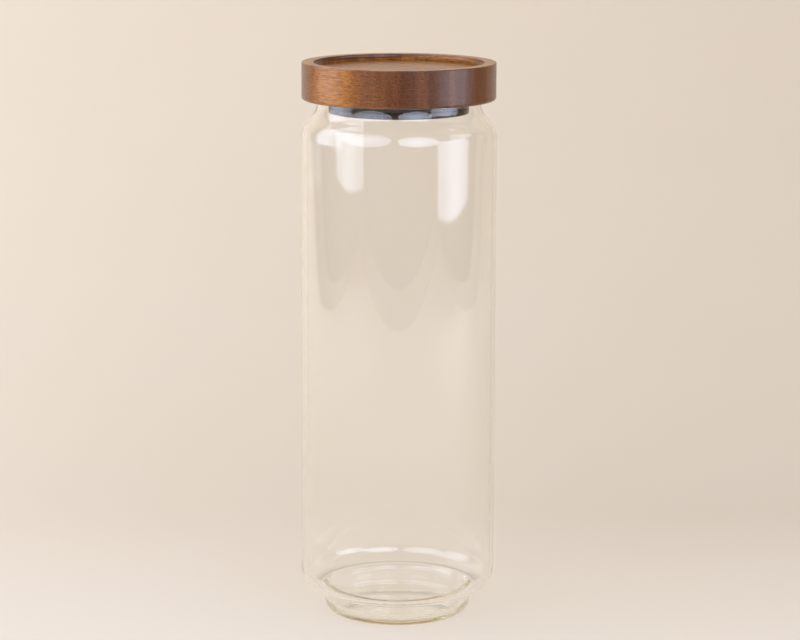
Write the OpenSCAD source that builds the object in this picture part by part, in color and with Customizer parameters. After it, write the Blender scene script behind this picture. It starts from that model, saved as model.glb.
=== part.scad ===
// Tall glass food canister with a turned wooden lid.
// The glass stands on a narrower foot, steps out to a straight tube, and closes over a rounded
// shoulder to a short neck. The lid's plug drops into the neck and carries a soft seal ring.
// The recess in the lid's top takes the foot of a second canister, so canisters stack.
// The origin is the middle of the foot, on the table, and +Z is up.

/* [Glass jar] */
// Height of the glass, from the table to the rim
jar_h = 267.4; // [160:0.2:330]
// Outer diameter of the straight glass tube
body_d = 100; // [84:1:130]
// Thickness of the tube and the shoulder
wall = 2.4; // [1.8:0.1:3.2]

/* [Shoulder and neck] */
// How far the neck's outside stands in from the tube's outside
neck_step = 8.3; // [6:0.1:11]
// Height of the neck, from the rim down to where its side would meet the shoulder's slope
neck_h = 5.3; // [4:0.1:12]
// Thickness of the glass at the neck
neck_wall = 2.3; // [1.9:0.1:3]
// Angle by which the shoulder leans in from upright, where it meets the neck
shoulder_lean = 41; // [34:1:50]
// Outer radius of the rounded shoulder
shoulder_r = 13; // [6:0.5:16]
// Largest outer radius of the hollow curve between shoulder and neck
neck_fillet_r = 11; // [2:0.5:14]
// Radius of the fire-polished rim's two edges
rim_r = 0.9; // [0.4:0.05:0.9]

/* [Heel and foot] */
// Height of the foot, from the table to the underside of the step
foot_h = 13; // [10:0.5:20]
// How far the foot's outside stands in from the tube's outside
foot_step = 12.4; // [8:0.1:16]
// Thickness of the step, where the tube's wall was drawn in to the foot
step_wall = 1.4; // [1:0.1:2]
// Thickness of the foot's side
foot_wall = 2.3; // [1.8:0.1:3]
// Largest outer radius of the rounded heel above the foot
heel_r = 9.6; // [6:0.1:10]
// Largest inner radius of the rounded heel
heel_inside_r = 8.7; // [7:0.1:9.5]
// Outer radius where the step turns down into the foot
foot_fillet_r = 2.3; // [1:0.1:3]
// Inner radius where the step turns down into the foot
foot_fillet_inside_r = 2.2; // [1:0.1:2.5]
// Outer radius of the foot's bottom edge
foot_edge_r = 5.7; // [4:0.1:7]
// Inner radius of the foot's bottom edge
foot_edge_inside_r = 3.8; // [2:0.1:4.5]
// Thickness of the bottom
bottom_t = 3.15; // [2.4:0.05:4]
// Height by which the middle of the bottom is pushed up
punt_h = 0.5; // [0.3:0.1:2]
// Width of the ring that the foot stands on
stand_w = 6.3; // [3:0.1:10]

/* [Lid] */
// Thickness of the lid's disc, from its underside to the top of its edge
lid_t = 19.1; // [14:0.1:26]
// How far the lid's side stands in from the tube's outside
lid_inset = 0.5; // [0:0.1:2]
// Depth of the recess in the lid's top
recess_depth = 3.2; // [2.4:0.1:5]
// Gap all round between the recess and the foot of a canister stacked on it
stack_gap = 5.7; // [3:0.1:7.5]
// Radius of the lid's lower outer edge
lid_low_edge_r = 1.6; // [0.6:0.1:3]
// Radius of the eased edges of the lid's top
lid_top_edge_r = 0.5; // [0.2:0.1:1]

/* [Plug] */
// How far the plug reaches down below the lid's underside
plug_h = 7; // [5.5:0.1:12]
// Gap all round between the plug and the inside of the neck
plug_gap = 3.7; // [2.5:0.1:5]
// Radius of the plug's lower edge
plug_edge_r = 0.8; // [0.3:0.1:1.5]
// Depth of the groove that the seal ring sits in
groove_depth = 1.7; // [1:0.1:3]

/* [Seal ring] */
// Height of the seal ring and its groove
seal_h = 3; // [2.4:0.1:4]
// How far the seal ring's band stands out from the plug
seal_proud = 0.3; // [0.1:0.05:0.8]
// Radius of the band's lower edge
seal_edge_r = 0.4; // [0.2:0.05:0.6]
// Thickness of the lip where it leaves the band
lip_root_t = 0.8; // [0.5:0.05:1]
// Thickness of the lip at its tip
lip_tip_t = 0.5; // [0.3:0.05:0.7]
// Gap between the lid's underside and the top of the lip's tip
lip_drop = 0.3; // [0.15:0.05:0.5]
// Height by which the lip's root lies below its tip
lip_rise = 0.4; // [0.2:0.05:0.8]
// Gap between the lip's tip and the inside of the neck
seal_gap = 0.3; // [0.2:0.05:0.6]

/* [Hidden] */
$fn = 144;

// Largest turn between two points of a rounded corner, in degrees
corner_turn = 9;
// Points along the curve of the pushed-up bottom
punt_steps = 8;

body_r = body_d / 2;
inside_r = body_r - wall;
neck_r = body_r - neck_step;
bore_r = neck_r - neck_wall;
foot_r = body_r - foot_step;
foot_inside_r = foot_r - foot_wall;
floor_r = foot_r - foot_edge_r;
punt_r = floor_r - stand_w;

// Share of the room beside it that a rounding may take up
room_share = 0.98;
heel_room_r = foot_step - foot_fillet_r;
heel_inside_room_r = inside_r - foot_inside_r - foot_fillet_inside_r;
heel_used_r = min(heel_r, room_share * heel_room_r);
heel_inside_used_r = min(heel_inside_r, room_share * heel_inside_room_r);

// The shoulder's slope is one straight line outside, and one parallel to it inside
neck_z = jar_h - neck_h;
shoulder_z = neck_z - neck_step / tan(shoulder_lean);
inner_shoulder_z = shoulder_z - wall * tan(shoulder_lean / 2);
throat_z = inner_shoulder_z + (inside_r - bore_r) / tan(shoulder_lean);

// The hollow curve keeps to the room that the rim and the rounded shoulder leave it
rim_low_z = jar_h - rim_r;
slope_room_r = neck_step / (1 - cos(shoulder_lean)) - shoulder_r;
neck_room_r = (rim_low_z - neck_z) / tan(shoulder_lean / 2);
throat_room_r = (rim_low_z - throat_z) / tan(shoulder_lean / 2);
neck_fillet_used_r = min(neck_fillet_r, room_share * slope_room_r, room_share * neck_room_r);
throat_used_r = min(neck_fillet_used_r + neck_wall, room_share * throat_room_r);

lid_r = body_r - lid_inset;
lid_top_z = jar_h + lid_t;
recess_r = foot_r + stack_gap;
recess_z = lid_top_z - recess_depth;
plug_r = bore_r - plug_gap;
plug_z = jar_h - plug_h;
groove_r = plug_r - groove_depth;
seal_z = jar_h - seal_h;
seal_band_r = plug_r + seal_proud;
lip_r = bore_r - seal_gap;
lip_tip_z = jar_h - lip_drop;
lip_root_z = lip_tip_z - lip_rise;

// Direction from point a to point b
function toward(a, b) = (b - a) / norm(b - a);

// Points of an arc that rounds the corner p, on the way from a to b
function rounded(a, p, b, radius) =
    let (
        back = toward(p, a),
        ahead = toward(p, b),
        half = acos(back * ahead) / 2,
        reach = radius / tan(half),
        middle = p + (back + ahead) / norm(back + ahead) * radius / sin(half),
        first = p + back * reach - middle,
        last = p + ahead * reach - middle,
        side = sign(first.x * last.y - first.y * last.x),
        start_angle = atan2(first.y, first.x),
        turn = 180 - 2 * half,
        steps = ceil(turn / corner_turn)
    )
    [for (i = [0:steps])
        let (angle = start_angle + side * turn * i / steps)
        middle + radius * [cos(angle), sin(angle)]];

// An outline through corners given as [radius from the axis, height, radius of the rounding]
function outline(corners) =
    let (n = len(corners), places = [for (c = corners) [c[0], c[1]]])
    [for (k = [0:n - 1])
        let (round_r = corners[k][2])
        each round_r == 0
            ? [places[k]]
            : rounded(places[(k + n - 1) % n], places[k], places[(k + 1) % n], round_r)];

// Height of the pushed-up bottom at a share of the way out from the axis
function punt_rise(out_share) = punt_h * (1 - out_share * out_share);

// Corners along the pushed-up bottom, from the axis outwards, raised by lift
function punt_corners(lift) =
    [for (i = [0:punt_steps])
        let (out_share = i / punt_steps)
        [punt_r * out_share, lift + punt_rise(out_share), 0]];

// The last corners of a list first
function reversed(list) = [for (i = [len(list) - 1:-1:0]) list[i]];

// Half section of the glass: underside, outside up to the rim, then inside back down
function jar_corners() = concat(
    punt_corners(0),
    [
        [foot_r, 0, foot_edge_r],
        [foot_r, foot_h, foot_fillet_r],
        [body_r, foot_h, heel_used_r],
        [body_r, shoulder_z, shoulder_r],
        [neck_r, neck_z, neck_fillet_used_r],
        [neck_r, jar_h, rim_r],
        [bore_r, jar_h, rim_r],
        [bore_r, throat_z, throat_used_r],
        [inside_r, inner_shoulder_z, shoulder_r - wall],
        [inside_r, foot_h + step_wall, heel_inside_used_r],
        [foot_inside_r, foot_h + step_wall, foot_fillet_inside_r],
        [foot_inside_r, bottom_t, foot_edge_inside_r]
    ],
    reversed(punt_corners(bottom_t))
);

// Half section of the lid: recess floor, rim, side, underside, groove and plug
lid_corners = [
    [0, recess_z, 0],
    [recess_r, recess_z, 0],
    [recess_r, lid_top_z, lid_top_edge_r],
    [lid_r, lid_top_z, lid_top_edge_r],
    [lid_r, jar_h, lid_low_edge_r],
    [groove_r, jar_h, 0],
    [groove_r, seal_z, 0],
    [plug_r, seal_z, 0],
    [plug_r, plug_z, plug_edge_r],
    [0, plug_z, 0]
];

// Half section of the seal: a band in the groove, and a thin lip that reaches for the neck
seal_corners = [
    [groove_r, seal_z, 0],
    [seal_band_r, seal_z, seal_edge_r],
    [seal_band_r, lip_root_z - lip_root_t, 0],
    [lip_r, lip_tip_z - lip_tip_t, 0],
    [lip_r, lip_tip_z, 0],
    [seal_band_r, lip_root_z, 0],
    [seal_band_r, jar_h, 0],
    [groove_r, jar_h, 0]
];

// Blown and hot-formed clear borosilicate glass
module glass_jar() {
    color("#D9DFCB", 0.45)
        rotate_extrude()
            polygon(outline(jar_corners()));
}

// One block of acacia, turned to a disc with a raised edge and a plug below
module lid() {
    color("#875734")
        rotate_extrude()
            polygon(outline(lid_corners));
}

// Translucent silicone, stretched over the plug into its groove
module seal_ring() {
    color("#A9A5A0", 0.85)
        rotate_extrude()
            polygon(outline(seal_corners));
}

glass_jar();
lid();
seal_ring();
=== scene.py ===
import math

import bmesh
import bpy
from mathutils import Matrix, Vector


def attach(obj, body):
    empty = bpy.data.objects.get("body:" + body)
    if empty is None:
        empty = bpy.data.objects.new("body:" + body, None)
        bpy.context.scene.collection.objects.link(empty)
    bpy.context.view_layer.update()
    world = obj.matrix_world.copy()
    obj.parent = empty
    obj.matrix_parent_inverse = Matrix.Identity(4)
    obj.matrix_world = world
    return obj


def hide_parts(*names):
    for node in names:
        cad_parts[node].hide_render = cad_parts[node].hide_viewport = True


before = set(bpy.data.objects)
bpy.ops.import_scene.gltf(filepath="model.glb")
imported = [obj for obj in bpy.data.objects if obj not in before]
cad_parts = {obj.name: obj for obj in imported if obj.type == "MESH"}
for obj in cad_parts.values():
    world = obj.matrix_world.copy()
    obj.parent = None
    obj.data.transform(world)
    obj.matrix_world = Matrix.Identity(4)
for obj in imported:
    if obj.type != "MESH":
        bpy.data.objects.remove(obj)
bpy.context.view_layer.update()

# THE GLASS JAR
# One vessel of clear borosilicate glass. A drawn tube was heated and formed on a glass lathe into
# a narrower foot, a rounded heel, a shoulder and a short neck, and its rim was melted smooth. It
# stands free on the ring of its foot.

# The sizes of pieces are in millimetres, and MM turns them into metres
MM = 0.001
ROUND_SIDES = 192
# Largest turn between two points of a rounded corner, in degrees
ARC_STEP = 6.0
FEWEST_ARC_STEPS = 3
# Radius of the last small ring round a pole
POLE_RADIUS = 0.6
# Points nearer than this, in metres, count as one
SAME_PLACE = 1e-6
# How near, in metres, a point lies to a line or an edge that it is picked by
NEAR = 1e-5

tube_r = 50.0
wall = 2.4
inside_r = tube_r - wall
foot_r = 37.6
foot_inside_r = 35.3
foot_height = 13.0
step_inside_height = 14.4
foot_edge = 5.7
foot_edge_inside = 3.8
foot_fillet = 2.3
foot_fillet_inside = 2.2
heel = 9.6
heel_inside = 8.7
bottom = 3.15
push_up = 0.5
stand_r = 25.6
neck_r = 41.7
bore_r = 39.4
rim_height = 267.4
neck_height = 262.1
shoulder_lean = 41.0
shoulder = 13.0
neck_fillet = 11.0
throat = 13.3
rim_edge = 0.9
push_up_rings = 6

lean = math.radians(shoulder_lean)
shoulder_height = neck_height - (tube_r - neck_r) / math.tan(lean)
inner_shoulder_height = shoulder_height - wall * math.tan(lean / 2)
throat_height = inner_shoulder_height + (inside_r - bore_r) / math.tan(lean)


def open_piece(name):
    """Names the new primitive, puts its size and place into its mesh, and opens it for editing."""
    piece = bpy.context.object
    piece.name = name
    piece.data.name = name
    bpy.ops.object.transform_apply(location=True, rotation=True, scale=True)
    bpy.ops.object.mode_set(mode="EDIT")
    return piece


def start_turning(name, radius, low, high):
    """Adds a solid cylinder at its size and place, and opens it for editing."""
    bpy.ops.object.select_all(action="DESELECT")
    bpy.ops.mesh.primitive_cylinder_add(
        vertices=ROUND_SIDES, radius=radius * MM, depth=(high - low) * MM,
        location=(0, 0, (high + low) / 2 * MM))
    return open_piece(name)


def select_cap(height):
    """Selects the flat end face at a height."""
    bpy.ops.mesh.select_mode(type="FACE")
    bpy.ops.mesh.select_all(action="DESELECT")
    mesh = bmesh.from_edit_mesh(bpy.context.edit_object.data)
    for face in mesh.faces:
        middle = face.calc_center_median()
        if abs(middle.z - height * MM) < SAME_PLACE and middle.xy.length < NEAR:
            face.select_set(True)
    bmesh.update_edit_mesh(bpy.context.edit_object.data)


def select_edges(wanted):
    """Selects the edges for which wanted(edge) holds."""
    bpy.ops.mesh.select_mode(type="EDGE")
    bpy.ops.mesh.select_all(action="DESELECT")
    mesh = bmesh.from_edit_mesh(bpy.context.edit_object.data)
    for edge in mesh.edges:
        if wanted(edge):
            edge.select_set(True)
    bmesh.update_edit_mesh(bpy.context.edit_object.data)


def carry_cap(*corners):
    """Extrudes the selected end face along corners of the section, given as radius and height."""
    for radius, height in corners:
        mesh = bmesh.from_edit_mesh(bpy.context.edit_object.data)
        place = next(vertex.co for vertex in mesh.verts if vertex.select)
        rise = height * MM - place.z
        growth = radius * MM / place.xy.length
        bpy.ops.mesh.extrude_region_move(
            TRANSFORM_OT_translate={"value": (0, 0, rise), "orient_type": "GLOBAL"})
        bpy.ops.transform.resize(value=(growth, growth, 1), center_override=(0, 0, 0))


def close_on_axis():
    """Draws the selected end face together to one point on the turning axis."""
    bpy.ops.mesh.merge(type="CENTER")


def round_ring(radius, height, rounding, turn=90.0):
    """Bevels the sharp ring at a corner of the section to an arc of the given radius."""
    select_edges(lambda edge: all(
        abs(point.co.z - height * MM) < SAME_PLACE
        and abs(point.co.xy.length - radius * MM) < SAME_PLACE
        for point in edge.verts))
    # Blender's profile is the square of how far out the middle of the curve lies, from 0.5 on the
    # chord to 1 at the corner. The bulge is how much of that way a true arc lies out.
    half_turn = math.radians(turn / 2)
    bulge = math.cos(half_turn) / (1 + math.cos(half_turn))
    bpy.ops.mesh.bevel(
        offset_type="OFFSET", offset=rounding * MM * math.tan(half_turn), affect="EDGES",
        segments=max(FEWEST_ARC_STEPS, round(turn / ARC_STEP)), profile=((1 + bulge) / 2) ** 2,
        clamp_overlap=False)


def finish_turning(piece):
    """Merges doubles, points every face outwards and shades the long walls true."""
    bpy.ops.mesh.select_all(action="SELECT")
    bpy.ops.mesh.remove_doubles(threshold=SAME_PLACE)
    bpy.ops.mesh.normals_make_consistent(inside=False)
    bpy.ops.object.mode_set(mode="OBJECT")
    bpy.ops.object.shade_smooth()
    bpy.ops.object.modifier_add(type="WEIGHTED_NORMAL")
    piece.modifiers[-1].keep_sharp = True
    bpy.ops.object.modifier_apply(modifier=piece.modifiers[-1].name)


def pushed_up(lift):
    """Rings of the bottom's pushed-up middle, from the standing ring in to the axis."""
    radii = [stand_r * (push_up_rings - step) / push_up_rings for step in range(push_up_rings)]
    rings = [(r, lift + push_up * (1 - (r / stand_r) ** 2)) for r in radii]
    return rings + [(POLE_RADIUS, lift + push_up)]


jar = start_turning("glass_vessel", foot_r, 0, foot_height)
select_cap(foot_height)
carry_cap(
    (tube_r, foot_height), (tube_r, shoulder_height), (neck_r, neck_height),
    (neck_r, rim_height), (bore_r, rim_height), (bore_r, throat_height),
    (inside_r, inner_shoulder_height), (inside_r, step_inside_height),
    (foot_inside_r, step_inside_height), (foot_inside_r, bottom))
carry_cap(*pushed_up(bottom))
close_on_axis()
select_cap(0)
carry_cap(*pushed_up(0))
close_on_axis()

round_ring(foot_r, 0, foot_edge)
round_ring(foot_r, foot_height, foot_fillet)
round_ring(tube_r, foot_height, heel)
round_ring(tube_r, shoulder_height, shoulder, shoulder_lean)
round_ring(neck_r, neck_height, neck_fillet, shoulder_lean)
round_ring(neck_r, rim_height, rim_edge)
round_ring(bore_r, rim_height, rim_edge)
round_ring(bore_r, throat_height, throat, shoulder_lean)
round_ring(inside_r, inner_shoulder_height, shoulder - wall, shoulder_lean)
round_ring(inside_r, step_inside_height, heel_inside)
round_ring(foot_inside_r, step_inside_height, foot_fillet_inside)
round_ring(foot_inside_r, bottom, foot_edge_inside)
finish_turning(jar)


def linear(hex_colour):
    """An sRGB hex colour as the linear values that a shader takes."""
    parts = [int(hex_colour[i:i + 2], 16) / 255 for i in (1, 3, 5)]
    return (*[p / 12.92 if p <= 0.04045 else ((p + 0.055) / 1.055) ** 2.4 for p in parts], 1.0)


def new_material(name):
    """A material with an empty node tree."""
    material = bpy.data.materials.new(name)
    material.use_nodes = True
    material.node_tree.nodes.clear()
    return material, material.node_tree


def add_node(tree, kind, settings=None, sockets=None):
    """Adds a node with its settings; a socket takes a value or another node's output."""
    node = tree.nodes.new(kind)
    for name, value in (settings or {}).items():
        setattr(node, name, value)
    for name, value in (sockets or {}).items():
        if isinstance(value, bpy.types.NodeSocket):
            tree.links.new(value, node.inputs[name])
        else:
            node.inputs[name].default_value = value
    return node


# Borosilicate glass, drawn as a tube and flame-worked: clear and hard, with crisp reflections that
# waver a little from side to side because drawing leaves faint upright ridges, and a warm olive
# tint only where the eye looks along the wall. A ridge is about 9 mm wide and as long as the tube.
glass, tree = new_material("drawn borosilicate glass")
RIDGE_WIDTH = 9 * MM
RIDGE_LENGTH = 500 * MM
RIDGE_HEIGHT = 0.012 * MM
LIGHT_LET_THROUGH = 0.98
place = add_node(tree, "ShaderNodeTexCoord")
ridges_place = add_node(tree, "ShaderNodeMapping", None, {
    "Vector": place.outputs["Object"],
    "Scale": (1 / RIDGE_WIDTH, 1 / RIDGE_WIDTH, 1 / RIDGE_LENGTH)})
ridges = add_node(tree, "ShaderNodeTexNoise", None, {
    "Vector": ridges_place.outputs["Vector"], "Scale": 1.0, "Detail": 1.0, "Roughness": 0.4})
ridge_bump = add_node(tree, "ShaderNodeBump", None, {
    "Height": ridges.outputs["Fac"], "Distance": RIDGE_HEIGHT, "Strength": 1.0})
clear_glass = add_node(tree, "ShaderNodeBsdfPrincipled", None, {
    "Base Color": (1, 1, 1, 1), "Roughness": 0.0, "IOR": 1.473, "Transmission Weight": 1.0,
    "Normal": ridge_bump.outputs["Normal"]})
# Light on its way to the wood, the silicone and the paper goes straight through the glass
light_passes = add_node(tree, "ShaderNodeBsdfTransparent", None, {
    "Color": (LIGHT_LET_THROUGH, LIGHT_LET_THROUGH, LIGHT_LET_THROUGH, 1)})
light_path = add_node(tree, "ShaderNodeLightPath")
lights_matt_things = add_node(tree, "ShaderNodeMath", {"operation": "MAXIMUM"}, {
    0: light_path.outputs["Is Shadow Ray"], 1: light_path.outputs["Is Diffuse Ray"]})
glass_surface = add_node(tree, "ShaderNodeMixShader", None, {
    0: lights_matt_things.outputs["Value"], 1: clear_glass.outputs["BSDF"],
    2: light_passes.outputs["BSDF"]})
glass_depth = add_node(tree, "ShaderNodeVolumeAbsorption", None, {
    "Color": linear("#F0E3A2"), "Density": 15.0})
add_node(tree, "ShaderNodeOutputMaterial", None, {
    "Surface": glass_surface.outputs["Shader"], "Volume": glass_depth.outputs["Volume"]})
jar.data.materials.append(glass)
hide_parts("glass_jar")
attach(jar, "jar")

# THE LID
# One block of dark acacia, turned on a lathe to a disc with a shallow recess on top and a narrower
# plug below. The plug has a groove for the seal ring. The block was sanded and oiled, and it is
# only pushed in.
lid_r = 49.5
lid_top = 286.5
recess_floor = 283.3
recess_r = 43.3
low_edge = 1.6
top_edge = 0.5
plug_r = 35.7
plug_low = 260.4
plug_edge = 0.8
groove_r = 34.0
seal_low = 264.4

lid = start_turning("wooden_lid", lid_r, rim_height, lid_top)
select_cap(lid_top)
carry_cap((recess_r, lid_top), (recess_r, recess_floor))
select_cap(rim_height)
carry_cap((groove_r, rim_height), (groove_r, seal_low), (plug_r, seal_low), (plug_r, plug_low))
round_ring(lid_r, rim_height, low_edge)
round_ring(lid_r, lid_top, top_edge)
round_ring(recess_r, lid_top, top_edge)
round_ring(plug_r, plug_low, plug_edge)
finish_turning(lid)

# Acacia, turned, sanded and oiled: satin. The fibres run from the back left to the front right.
# Where a face shows their length it is orange-brown with fine dashes, and where it shows their
# ends it drank more oil and is a dark, speckled red-brown. Growth layers 4 to 9 mm thick stand
# upright along the grain and shade it in broad soft bands, and the tool left faint level lines
# round the side. The plug is painted darker, as painted shade under the overhang of the disc.
# Pores 0.2 mm wide, fibres and tool lines 0.4 mm apart would be finer than a pixel, so pores are
# drawn 0.5 to 0.7 mm wide and 5 mm long, fibres 0.7 to 0.9 mm wide and 10 mm long, and tool
# lines 0.8 mm high.
wood, tree = new_material("oiled turned acacia")
GRAIN_TURN = math.radians(45)
GRAIN_DIRECTION = (math.cos(GRAIN_TURN), -math.sin(GRAIN_TURN), 0)
LAYER_SIZE = (150 * MM, 6 * MM, 90 * MM)
PORE_SIZE = (5 * MM, 0.7 * MM, 0.5 * MM)
FIBRE_SIZE = (10 * MM, 0.9 * MM, 0.7 * MM)
TOOL_LINE_SIZE = (60 * MM, 60 * MM, 0.8 * MM)
PORE_DEPTH = 0.03 * MM
FIBRE_RELIEF = 0.02 * MM
TOOL_LINE_DEPTH = 0.05 * MM
# Heights between which the painted shade under the disc comes in, from none to full
PLUG_SHADE_TOP = 268.0 * MM
PLUG_SHADE_FULL = 267.3 * MM
# A Mix node names its number, vector and colour sockets alike, so those for colours go by number
MIX_SHARE, FIRST_COLOUR, SECOND_COLOUR, MIXED_COLOUR = 0, 6, 7, 2
place = add_node(tree, "ShaderNodeTexCoord")
grain_place = add_node(tree, "ShaderNodeMapping", None, {
    "Vector": place.outputs["Object"], "Rotation": (0, 0, GRAIN_TURN)})


def grain_noise(source, size, detail, roughness):
    """Noise whose cells have the given size along the grain, across it and upwards."""
    cells = add_node(tree, "ShaderNodeMapping", None, {
        "Vector": source, "Scale": tuple(1 / length for length in size)})
    return add_node(tree, "ShaderNodeTexNoise", None, {
        "Vector": cells.outputs["Vector"], "Scale": 1.0, "Detail": detail,
        "Roughness": roughness})


layers = grain_noise(grain_place.outputs["Vector"], LAYER_SIZE, 3.0, 0.5)
pores = grain_noise(grain_place.outputs["Vector"], PORE_SIZE, 1.0, 0.5)
fibres = grain_noise(grain_place.outputs["Vector"], FIBRE_SIZE, 3.0, 0.65)
tool_lines = grain_noise(place.outputs["Object"], TOOL_LINE_SIZE, 1.0, 0.5)
across_fibres = add_node(tree, "ShaderNodeVectorMath", {"operation": "DOT_PRODUCT"}, {
    0: place.outputs["Normal"], 1: GRAIN_DIRECTION})
end_grain = add_node(tree, "ShaderNodeMath", {"operation": "ABSOLUTE"}, {
    0: across_fibres.outputs["Value"]})
end_share = add_node(tree, "ShaderNodeMapRange", None, {
    "Value": end_grain.outputs["Value"], "From Min": 0.2, "From Max": 0.62})
face_colour = add_node(tree, "ShaderNodeMix", {"data_type": "RGBA"}, {
    MIX_SHARE: end_share.outputs["Result"],
    FIRST_COLOUR: linear("#B37334"), SECOND_COLOUR: linear("#6C3F22")})
layer_tone = add_node(tree, "ShaderNodeMapRange", {"interpolation_type": "SMOOTHSTEP"}, {
    "Value": layers.outputs["Fac"], "From Min": 0.36, "From Max": 0.62, "To Min": 0.0,
    "To Max": 0.6})
layer_colour = add_node(tree, "ShaderNodeMix", {"data_type": "RGBA", "blend_type": "MULTIPLY"}, {
    MIX_SHARE: layer_tone.outputs["Result"],
    FIRST_COLOUR: face_colour.outputs[MIXED_COLOUR], SECOND_COLOUR: linear("#B09680")})
fibre_colour = add_node(tree, "ShaderNodeMix", {"data_type": "RGBA", "blend_type": "OVERLAY"}, {
    MIX_SHARE: 0.75,
    FIRST_COLOUR: layer_colour.outputs[MIXED_COLOUR], SECOND_COLOUR: fibres.outputs["Fac"]})
pore_steps = add_node(tree, "ShaderNodeMapRange", {"interpolation_type": "SMOOTHSTEP"}, {
    "Value": pores.outputs["Fac"], "From Min": 0.48, "From Max": 0.70, "To Max": 0.42})
pore_colour = add_node(tree, "ShaderNodeMix", {"data_type": "RGBA"}, {
    MIX_SHARE: pore_steps.outputs["Result"],
    FIRST_COLOUR: fibre_colour.outputs[MIXED_COLOUR], SECOND_COLOUR: linear("#2E1609")})
place_parts = add_node(tree, "ShaderNodeSeparateXYZ", None, {"Vector": place.outputs["Object"]})
# Painted shade: the plug and the lowest edge of the disc are darkened under the disc's overhang
painted_plug_shade = add_node(tree, "ShaderNodeMapRange", None, {
    "Value": place_parts.outputs["Z"], "From Min": PLUG_SHADE_TOP, "From Max": PLUG_SHADE_FULL})
grain_and_plug_shade = add_node(tree, "ShaderNodeMix", {"data_type": "RGBA", "blend_type": "MULTIPLY"}, {
    MIX_SHARE: painted_plug_shade.outputs["Result"],
    FIRST_COLOUR: pore_colour.outputs[MIXED_COLOUR], SECOND_COLOUR: linear("#7A6A60")})
pore_bump = add_node(tree, "ShaderNodeBump", {"invert": True}, {
    "Height": pore_steps.outputs["Result"], "Distance": PORE_DEPTH, "Strength": 1.0})
fibre_bump = add_node(tree, "ShaderNodeBump", None, {
    "Height": fibres.outputs["Fac"], "Distance": FIBRE_RELIEF, "Strength": 1.0,
    "Normal": pore_bump.outputs["Normal"]})
tool_bump = add_node(tree, "ShaderNodeBump", None, {
    "Height": tool_lines.outputs["Fac"], "Distance": TOOL_LINE_DEPTH, "Strength": 1.0,
    "Normal": fibre_bump.outputs["Normal"]})
oiled_wood = add_node(tree, "ShaderNodeBsdfPrincipled", None, {
    "Base Color": grain_and_plug_shade.outputs[MIXED_COLOUR], "Roughness": 0.27, "IOR": 1.5,
    "Specular IOR Level": 0.45, "Normal": tool_bump.outputs["Normal"]})
add_node(tree, "ShaderNodeOutputMaterial", None, {"Surface": oiled_wood.outputs["BSDF"]})
lid.data.materials.append(wood)
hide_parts("lid")
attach(lid, "lid")

# THE SEAL RING
# A moulded ring of translucent silicone. It is stretched over the plug into its groove, and its
# thin lip reaches out to the neck, bends against the glass and holds the lid by friction.
band_r = 36.0
lip_r = 39.1
lip_top = 267.1
lip_tip_low = 266.6
lip_root_top = 266.7
lip_root_low = 265.9
band_edge = 0.4

bpy.ops.object.select_all(action="DESELECT")
bpy.ops.mesh.primitive_circle_add(
    vertices=ROUND_SIDES, radius=groove_r * MM, location=(0, 0, seal_low * MM))
seal = open_piece("seal_band")
bpy.ops.mesh.select_mode(type="EDGE")
bpy.ops.mesh.select_all(action="SELECT")
section = [
    (band_r, seal_low), (band_r, lip_root_low), (lip_r, lip_tip_low), (lip_r, lip_top),
    (band_r, lip_root_top), (band_r, rim_height), (groove_r, rim_height)]
ring_r, ring_z = groove_r, seal_low
for corner_r, corner_z in section:
    bpy.ops.mesh.extrude_edges_move(TRANSFORM_OT_translate={
        "value": (0, 0, (corner_z - ring_z) * MM), "orient_type": "GLOBAL"})
    growth = corner_r / ring_r
    bpy.ops.transform.resize(value=(growth, growth, 1), center_override=(0, 0, 0))
    ring_r, ring_z = corner_r, corner_z
select_edges(lambda edge: len(edge.link_faces) == 1)
bpy.ops.mesh.bridge_edge_loops()
round_ring(band_r, seal_low, band_edge)
finish_turning(seal)

# Moulded silicone rubber, translucent and smoky: soft and half matt, so that it takes on the dark
# of the wood behind it and shows only broad pale highlights. The mould leaves a very fine grain,
# drawn 0.4 mm coarse because the real one would be finer than a pixel.
silicone, tree = new_material("moulded silicone rubber")
MOULD_GRAIN = 0.4 * MM
MOULD_RELIEF = 0.01 * MM
place = add_node(tree, "ShaderNodeTexCoord")
mould_grain = add_node(tree, "ShaderNodeTexNoise", None, {
    "Vector": place.outputs["Object"], "Scale": 1 / MOULD_GRAIN, "Detail": 1.0})
mould_bump = add_node(tree, "ShaderNodeBump", None, {
    "Height": mould_grain.outputs["Fac"], "Distance": MOULD_RELIEF, "Strength": 1.0})
soft_silicone = add_node(tree, "ShaderNodeBsdfPrincipled", None, {
    "Base Color": linear("#45423F"), "Roughness": 0.38, "IOR": 1.41,
    "Transmission Weight": 0.35, "Subsurface Weight": 0.1, "Subsurface Scale": 1 * MM,
    "Normal": mould_bump.outputs["Normal"]})
add_node(tree, "ShaderNodeOutputMaterial", None, {"Surface": soft_silicone.outputs["BSDF"]})
seal.data.materials.append(silicone)
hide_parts("seal_ring")
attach(seal, "lid")

# THE STUDIO
# A roll of cream paper runs from a table's front edge under the jar and up a wall in one soft
# curve. Two boxes with cloth fronts stand at the sides, and two round ones hang in front, all
# aimed at the jar. Places and sizes are in metres.
PAPER_FRONT = -0.885
PAPER_BACK = 0.75
PAPER_HALF_WIDTH = 0.95
PAPER_TOP = 1.6
PAPER_CURVE = 0.55
PAPER_CURVE_STEPS = 24

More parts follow.
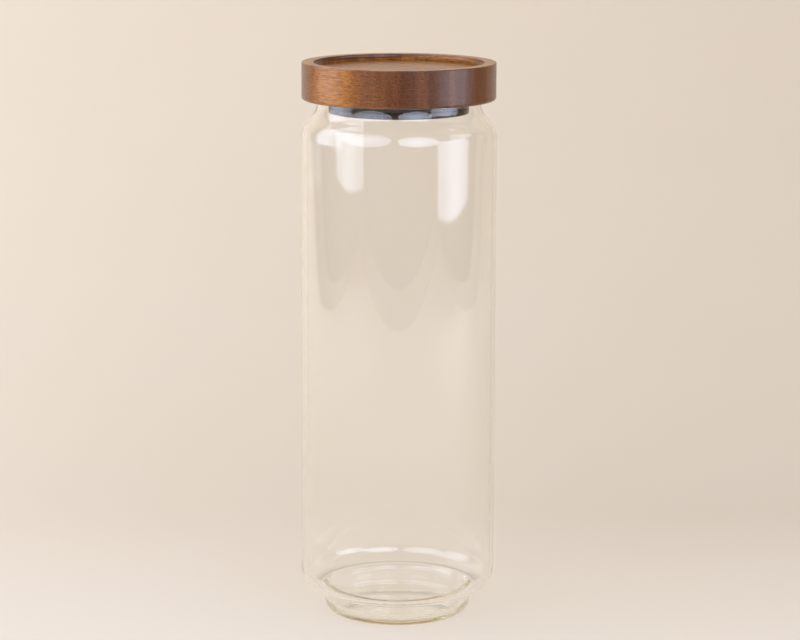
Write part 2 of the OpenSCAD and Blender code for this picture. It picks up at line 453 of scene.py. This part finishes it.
bpy.ops.object.select_all(action="DESELECT")
bpy.ops.mesh.primitive_plane_add(size=1, location=(0, (PAPER_FRONT + PAPER_BACK) / 2, 0))
bpy.context.object.scale = (2 * PAPER_HALF_WIDTH, PAPER_BACK - PAPER_FRONT, 1)
paper = open_piece("paper_sweep")
select_edges(lambda edge: all(abs(point.co.y - PAPER_BACK) < NEAR for point in edge.verts))
bpy.ops.mesh.extrude_edges_move(TRANSFORM_OT_translate={
    "value": (0, 0, PAPER_TOP), "orient_type": "GLOBAL"})
select_edges(lambda edge: all(
    abs(point.co.y - PAPER_BACK) < NEAR and abs(point.co.z) < NEAR for point in edge.verts))
bpy.ops.mesh.bevel(
    offset_type="OFFSET", offset=PAPER_CURVE, segments=PAPER_CURVE_STEPS, profile=0.5,
    affect="EDGES")
bpy.ops.object.mode_set(mode="OBJECT")
bpy.ops.object.shade_smooth()

# Uncoated cream paper: matt, with a faint cloudy tone from its pulp. Towards the wall, where less
# light falls on it, it is painted a little warmer as painted shade.
cream_paper, tree = new_material("uncoated cream paper")
CLOUDS_PER_METRE = 9.0
PAINTED_WARMTH_FROM = -0.15
place = add_node(tree, "ShaderNodeTexCoord")
pulp = add_node(tree, "ShaderNodeTexNoise", None, {
    "Vector": place.outputs["Object"], "Scale": CLOUDS_PER_METRE, "Detail": 3.0})
paper_parts = add_node(tree, "ShaderNodeSeparateXYZ", None, {"Vector": place.outputs["Object"]})
# Painted shade: the paper's tone turns warmer from the floor up the wall
painted_wall_warmth = add_node(tree, "ShaderNodeMapRange", {"interpolation_type": "SMOOTHSTEP"}, {
    "Value": paper_parts.outputs["Y"], "From Min": PAINTED_WARMTH_FROM, "From Max": PAPER_BACK})
paper_tone_and_wall_warmth = add_node(tree, "ShaderNodeMix", {"data_type": "RGBA"}, {
    MIX_SHARE: painted_wall_warmth.outputs["Result"],
    FIRST_COLOUR: linear("#EBDBC4"), SECOND_COLOUR: linear("#ECD9BE")})
cloudy_tone = add_node(tree, "ShaderNodeMix", {"data_type": "RGBA", "blend_type": "SOFT_LIGHT"}, {
    MIX_SHARE: 0.05,
    FIRST_COLOUR: paper_tone_and_wall_warmth.outputs[MIXED_COLOUR], SECOND_COLOUR: pulp.outputs["Color"]})
matt_paper = add_node(tree, "ShaderNodeBsdfPrincipled", None, {
    "Base Color": cloudy_tone.outputs[MIXED_COLOUR], "Roughness": 0.9,
    "Specular IOR Level": 0.1})
# A camera that goes round to the back of the jar looks through the paper
paper_side = add_node(tree, "ShaderNodeNewGeometry")
paper_path = add_node(tree, "ShaderNodeLightPath")
seen_from_behind = add_node(tree, "ShaderNodeMath", {"operation": "MULTIPLY"}, {
    0: paper_side.outputs["Backfacing"], 1: paper_path.outputs["Is Camera Ray"]})
open_back = add_node(tree, "ShaderNodeBsdfTransparent")
one_sided_paper = add_node(tree, "ShaderNodeMixShader", None, {
    0: seen_from_behind.outputs["Value"], 1: matt_paper.outputs["BSDF"],
    2: open_back.outputs["BSDF"]})
add_node(tree, "ShaderNodeOutputMaterial", None, {"Surface": one_sided_paper.outputs["Shader"]})
paper.data.materials.append(cream_paper)

# The lamps give a bluish white. Their cloth glows most in the middle and less towards the rim, and
# on the boxes it fades out over a narrow strip along the edges. Glow is a share of the radiance,
# and places on the cloth are shares of its width and height.
LAMP_COLOUR = linear("#D8E6FF")[:3]
MIDDLE_GLOW = 1.2
RIM_GLOW = 0.75
RIM_FROM_MIDDLE = 0.45
SOFT_EDGE = 0.015
CLOTH_MIDDLE = 0.5
JAR_SHOULDER = Vector((0, 0, 0.25))
ROUND_DISTANCE = 0.95


def from_jar(azimuth, elevation):
    """A direction from the jar: azimuth 0 is towards the camera, right and up are positive."""
    a, e = math.radians(azimuth), math.radians(elevation)
    return Vector((math.sin(a) * math.cos(e), -math.cos(a) * math.cos(e), math.sin(e)))


def soft_lamp(name, place, aim, size, radiance, shape):
    """A lamp behind a cloth front, seen in the glass but not by the camera."""
    is_round = shape == "DISK"
    lamp = bpy.data.lights.new(name, "AREA")
    lamp.shape = shape
    lamp.size, lamp.size_y = size
    area = size[0] * size[1] * (math.pi / 4 if is_round else 1)
    lamp.energy = radiance * math.pi * area
    lamp.color = LAMP_COLOUR
    lamp.use_nodes = True
    lamp_tree = lamp.node_tree
    lamp_tree.nodes.clear()
    cloth = add_node(lamp_tree, "ShaderNodeNewGeometry")
    # A box glows in an upright bar and fades to its sides, and a round lamp fades all round
    fading = (1, 1, 0) if is_round else (1, 0, 0)
    from_middle = add_node(lamp_tree, "ShaderNodeVectorMath", {"operation": "MULTIPLY_ADD"}, {
        0: cloth.outputs["Parametric"], 1: fading,
        2: tuple(-CLOTH_MIDDLE * part for part in fading)})
    off_middle = add_node(lamp_tree, "ShaderNodeVectorMath", {"operation": "LENGTH"}, {
        0: from_middle.outputs["Vector"]})
    hot_middle = add_node(lamp_tree, "ShaderNodeMapRange", {"interpolation_type": "SMOOTHSTEP"}, {
        "Value": off_middle.outputs["Value"], "From Min": 0.0, "From Max": RIM_FROM_MIDDLE,
        "To Min": MIDDLE_GLOW, "To Max": RIM_GLOW})
    glow = hot_middle.outputs["Result"]
    if not is_round:
        spots = add_node(lamp_tree, "ShaderNodeSeparateXYZ", None, {
            "Vector": cloth.outputs["Parametric"]})
        to_side, to_end = [
            add_node(lamp_tree, "ShaderNodeMath", {"operation": "PINGPONG"}, {
                0: spots.outputs[axis], 1: CLOTH_MIDDLE})
            for axis in ("X", "Y")]
        to_edge = add_node(lamp_tree, "ShaderNodeMath", {"operation": "MINIMUM"}, {
            0: to_side.outputs["Value"], 1: to_end.outputs["Value"]})
        soft_edge = add_node(lamp_tree, "ShaderNodeMapRange", {
            "interpolation_type": "SMOOTHSTEP"}, {
                "Value": to_edge.outputs["Value"], "From Min": 0.0, "From Max": SOFT_EDGE})
        edged_glow = add_node(lamp_tree, "ShaderNodeMath", {"operation": "MULTIPLY"}, {
            0: glow, 1: soft_edge.outputs["Result"]})
        glow = edged_glow.outputs["Value"]
    cloth_light = add_node(lamp_tree, "ShaderNodeEmission", None, {"Strength": glow})
    add_node(lamp_tree, "ShaderNodeOutputLight", None, {
        "Surface": cloth_light.outputs["Emission"]})
    holder = bpy.data.objects.new(name, lamp)
    bpy.context.scene.collection.objects.link(holder)
    turned = aim.to_track_quat("-Z", "Y").to_matrix().to_4x4()
    holder.matrix_world = Matrix.Translation(place) @ turned
    holder.visible_camera = False


soft_lamp("left_box", place=Vector((-0.806, 0.076, 0.517)), aim=from_jar(109.6, -26.2),
          size=(0.738, 0.861), radiance=3.0, shape="RECTANGLE")
soft_lamp("right_box", place=Vector((0.834, -0.329, 0.330)), aim=from_jar(-120.0, -9.0),
          size=(0.729, 0.515), radiance=3.85, shape="RECTANGLE")
for side, azimuth, elevation, width, radiance in (
        ("left", -39.8, 26.9, 0.96, 3.35), ("right", 24.1, 24.8, 0.80, 4.5)):
    outwards = from_jar(azimuth, elevation)
    soft_lamp(f"{side}_round", place=JAR_SHOULDER + ROUND_DISTANCE * outwards, aim=-outwards,
              size=(width, width), radiance=radiance, shape="DISK")

# The camera sees a pale room all round, while the glass and the oiled wood mirror a darker one
room = bpy.data.worlds.new("studio room")
bpy.context.scene.world = room
room.use_nodes = True
room.node_tree.nodes.clear()
path = add_node(room.node_tree, "ShaderNodeLightPath")
bounces = add_node(room.node_tree, "ShaderNodeMath", {"operation": "MAXIMUM"}, {
    0: path.outputs["Glossy Depth"], 1: path.outputs["Diffuse Depth"]})
is_mirrored = add_node(room.node_tree, "ShaderNodeMath", {"operation": "GREATER_THAN"}, {
    0: bounces.outputs["Value"], 1: 0.5})
room_colour = add_node(room.node_tree, "ShaderNodeMix", {"data_type": "RGBA"}, {
    MIX_SHARE: is_mirrored.outputs["Value"],
    FIRST_COLOUR: linear("#EADCC8"), SECOND_COLOUR: linear("#857A6E")})
room_light = add_node(room.node_tree, "ShaderNodeBackground", None, {
    "Color": room_colour.outputs[MIXED_COLOUR], "Strength": 1.0})
add_node(room.node_tree, "ShaderNodeOutputWorld", None, {
    "Surface": room_light.outputs["Background"]})

# The camera stands 1.5 m in front of the jar, higher than its lid, and looks down on it through a
# long lens. Angles are in degrees, and the focal length is in pixels of a picture 800 wide.
CAMERA_PLACE = (0.00097, -1.501, 0.428)
LOOK_DOWN = 10.37
CAMERA_ROLL = 0.195
FOCAL_PIXELS = 2962
PICTURE_WIDTH = 800
SENSOR_WIDTH = 36

camera_lens = bpy.data.cameras.new("camera")
camera = bpy.data.objects.new("camera", camera_lens)
bpy.context.scene.collection.objects.link(camera)
camera_lens.sensor_width = SENSOR_WIDTH
camera_lens.lens = FOCAL_PIXELS / PICTURE_WIDTH * SENSOR_WIDTH
camera.matrix_world = (
    Matrix.Translation(CAMERA_PLACE) @ Matrix.Rotation(math.radians(90 - LOOK_DOWN), 4, "X")
    @ Matrix.Rotation(math.radians(CAMERA_ROLL), 4, "Z"))
bpy.context.scene.camera = camera

# A look through the jar crosses many faces of glass, so rays may turn often before they end
bpy.context.scene.view_settings.view_transform = "Standard"
cycles = bpy.context.scene.cycles
cycles.max_bounces = 24
cycles.transmission_bounces = 24
cycles.glossy_bounces = 12
cycles.transparent_max_bounces = 24
